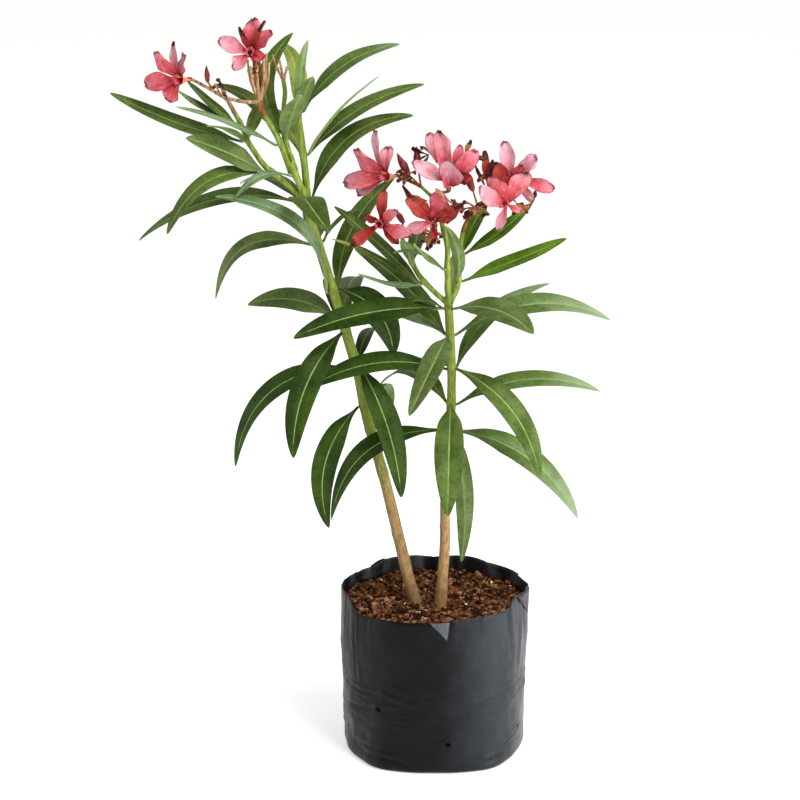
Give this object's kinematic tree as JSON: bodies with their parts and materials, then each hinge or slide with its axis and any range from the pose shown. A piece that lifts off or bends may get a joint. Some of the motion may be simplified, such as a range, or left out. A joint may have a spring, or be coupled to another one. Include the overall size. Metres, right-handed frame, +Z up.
{
  "type": "potted oleander",
  "caption": "Young oleander with leaning stems, whorls of long narrow leaves and coral flower heads, growing in a round black nursery grow bag.",
  "frame": {"origin": "middle of the grow bag's flat underside, on the surface that it stands on", "axes": "+Z up; +X to the right and -Y towards the viewer in the usual front view"},
  "size_m": [0.4181, 0.1873, 0.6387],
  "materials": {
    "grow_bag": "black polythene film, half gloss, creased and lightly dusty",
    "potting_mix": "moist coarse coconut-fibre mix, matt",
    "bark": "tan young bark with leaf-scar rings, turning green above",
    "young_stem": "smooth yellow-green young stem, satin",
    "leaves": "leathery dark green leaf with a pale midrib, satin",
    "petals": "coral pink petal with withered dark edges, soft matt",
    "dry_stalk": "dry tan and brown flower stalk, matt"
  },
  "bodies": {
    "root": {"grow_bag": "grow_bag", "potting_mix": "potting_mix", "left_stem": "bark", "right_stem": "bark", "left_shoot": "young_stem", "middle_shoot_foot": "young_stem", "middle_shoot_front": "young_stem", "middle_shoot_back": "young_stem", "upright_shoot": "young_stem", "left_twig": "young_stem", "middle_twig": "young_stem", "right_twig": "young_stem", "left_whorl_1": "leaves", "left_whorl_2": "leaves", "left_whorl_3": "leaves", "left_whorl_4": "leaves", "left_whorl_5": "leaves", "left_whorl_6": "leaves", "left_whorl_7": "leaves", "left_shoot_low_whorl": "leaves", "left_shoot_mid_whorl": "leaves", "left_shoot_top_whorl": "leaves", "middle_foot_whorl": "leaves", "middle_front_whorl": "leaves", "middle_back_whorl": "leaves", "upright_low_whorl": "leaves", "upright_top_whorl": "leaves", "right_whorl_1": "leaves", "right_whorl_2": "leaves", "right_whorl_3": "leaves", "right_whorl_4": "leaves", "right_whorl_5": "leaves", "left_twig_whorl": "leaves", "left_twig_top_whorl": "leaves", "middle_twig_whorl": "leaves", "right_twig_low_whorl": "leaves", "right_twig_top_whorl": "leaves", "left_flower_head": "petals", "bundle_flower_head": "dry_stalk", "spent_flower_head": "dry_stalk", "low_flower_head": "petals", "main_flower_head": "petals", "right_flower_head": "petals"}
  },
  "joints": []
}
